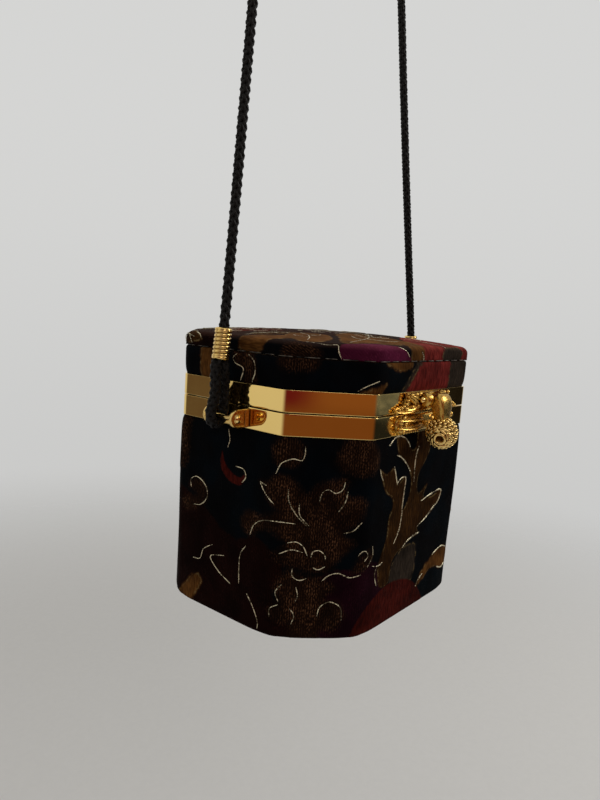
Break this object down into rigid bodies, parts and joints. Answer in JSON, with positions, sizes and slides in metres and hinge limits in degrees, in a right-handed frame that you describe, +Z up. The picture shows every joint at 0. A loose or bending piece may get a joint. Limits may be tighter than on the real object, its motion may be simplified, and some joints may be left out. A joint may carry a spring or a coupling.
{
  "type": "box purse",
  "caption": "Octagonal box purse in floral brocade, with a padded hinged lid, polished gilt frame bands, a ball-lever clasp and a black braided cord strap.",
  "frame": {"origin": "under the bight of the strap, where the purse hangs", "axes": "+Z up along the pull of the strap, front with the clasp towards -Y, +X to the right seen from the front"},
  "size_m": [0.1672, 0.1398, 0.3767],
  "materials": {
    "gilt": "mirror polished",
    "brocade": "velvet-pile brocade with gold outlines",
    "card": "plain board",
    "lining": "satin",
    "cord": "braided"
  },
  "bodies": {
    "box": {"lower_frame": "gilt", "hinge_leaf_lower": "gilt", "hinge_pin": "gilt", "lug_ear_left_front": "gilt", "lug_ear_left_rear": "gilt", "lug_pin_left": "gilt", "lug_ear_right_front": "gilt", "lug_ear_right_rear": "gilt", "lug_pin_right": "gilt", "clasp_catch": "gilt", "strap_ferrule_left": "gilt", "strap_ferrule_right": "gilt", "body_cover": "brocade", "base_cover": "brocade", "body_board": "card", "base_board": "card", "body_lining": "lining", "strap_cord": "cord", "strap_loop_left": "cord", "strap_loop_right": "cord"},
    "lid": {"upper_frame": "gilt", "lid_wall_cover": "brocade", "lid_board": "card", "lid_lining": "lining", "lid_top_panel": "brocade", "hinge_leaf_upper": "gilt", "clasp_plate": "gilt", "clasp_pin": "gilt"},
    "clasp": {"clasp_lever": "gilt", "clasp_knob": "gilt"}
  },
  "joints": [
    {"name": "lid_hinge", "type": "hinge", "parent": "box", "child": "lid", "pos_m": [0, 0.0482, -0.273], "axis": [-1, 0, 0], "range_deg": [0, 105]},
    {"name": "clasp_lever_hinge", "type": "hinge", "parent": "lid", "child": "clasp", "pos_m": [0, -0.0753, -0.2667], "axis": [-1, 0, 0], "range_deg": [0, 95]}
  ]
}
